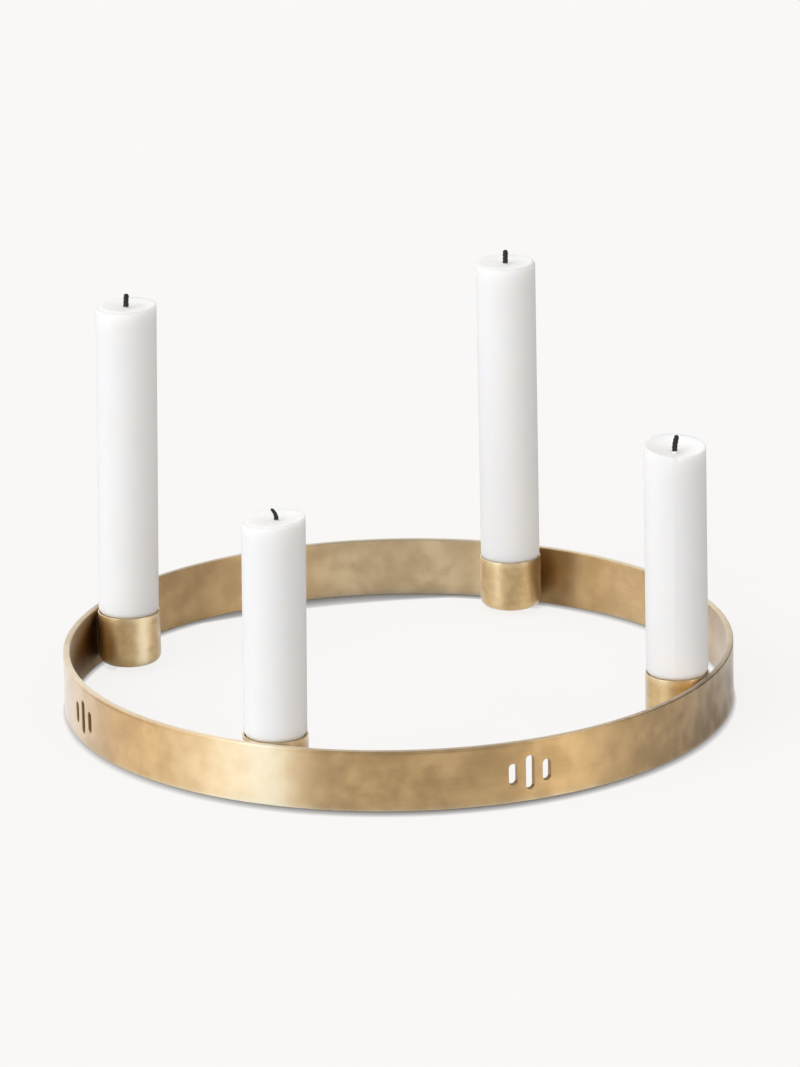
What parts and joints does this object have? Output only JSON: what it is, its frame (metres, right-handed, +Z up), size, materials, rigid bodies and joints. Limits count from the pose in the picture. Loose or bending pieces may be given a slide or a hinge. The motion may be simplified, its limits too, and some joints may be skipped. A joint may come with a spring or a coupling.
{
  "type": "advent candle holder",
  "caption": "Low ring of flat rolled brass with drawn cups brazed inside it, each holding a part-burnt candle that lifts out; upright slots in the band take ribbons.",
  "frame": {"origin": "middle of the ring, on the table under the band's lower edge", "axes": "+Z up; the front cup is towards -Y and the right cup towards +X"},
  "size_m": [0.25, 0.25, 0.1467],
  "materials": {
    "brass": "satin",
    "braze": "satin",
    "wax": "satin",
    "wick": "matte"
  },
  "bodies": {
    "holder": {"ring_band": "brass", "cup_front": "brass", "cup_right": "brass", "cup_rear": "brass", "cup_left": "brass", "braze_front": "braze", "braze_right": "braze", "braze_rear": "braze", "braze_left": "braze"},
    "front_candle": {"candle_front": "wax", "wick_front": "wick"},
    "right_candle": {"candle_right": "wax", "wick_right": "wick"},
    "rear_candle": {"candle_rear": "wax", "wick_rear": "wick"},
    "left_candle": {"candle_left": "wax", "wick_left": "wick"}
  },
  "joints": [
    {"name": "front_candle_lift", "type": "slide", "parent": "holder", "child": "front_candle", "axis": [0, 0, 1], "range_m": [0, 0.06]},
    {"name": "right_candle_lift", "type": "slide", "parent": "holder", "child": "right_candle", "axis": [0, 0, 1], "range_m": [0, 0.06]},
    {"name": "rear_candle_lift", "type": "slide", "parent": "holder", "child": "rear_candle", "axis": [0, 0, 1], "range_m": [0, 0.06]},
    {"name": "left_candle_lift", "type": "slide", "parent": "holder", "child": "left_candle", "axis": [0, 0, 1], "range_m": [0, 0.06]}
  ]
}
